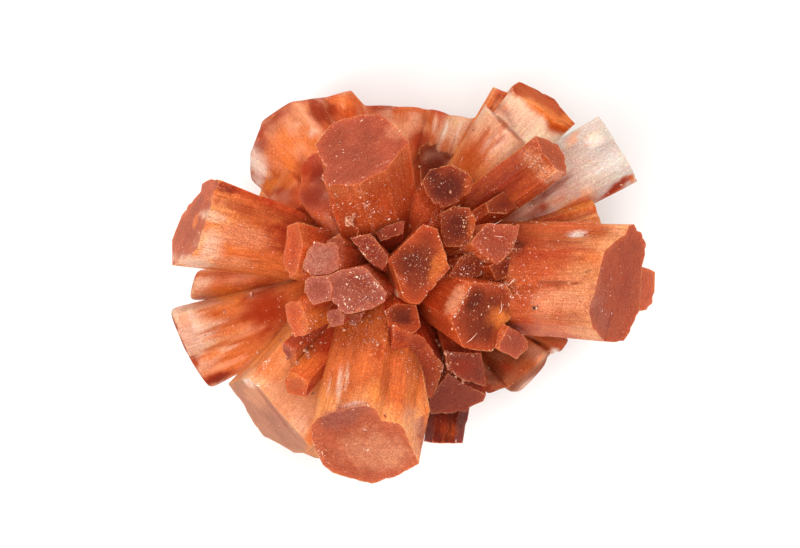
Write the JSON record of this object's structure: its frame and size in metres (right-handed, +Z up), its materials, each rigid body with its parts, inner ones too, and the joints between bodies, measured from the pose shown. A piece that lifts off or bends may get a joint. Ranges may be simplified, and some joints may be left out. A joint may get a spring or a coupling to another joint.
{
  "type": "aragonite crystal cluster",
  "caption": "Rust-orange cluster of flat-ended six-sided aragonite prisms that radiate from one centre; a mineral specimen that rests on its foot crystal.",
  "frame": {"origin": "middle of the cluster's outline as seen from above, on the surface it rests on", "axes": "+Z up, away from the resting face; +X along the longest extent, towards the large crystal with a lobe on its end; +Y across it"},
  "size_m": [0.0486, 0.0404, 0.034],
  "materials": {
    "aragonite": "waxy, translucent rust-orange crystal faces, paler at the tips, with dull pinkish ends"
  },
  "bodies": {
    "root": {"crystal_cluster": "aragonite"}
  },
  "joints": []
}
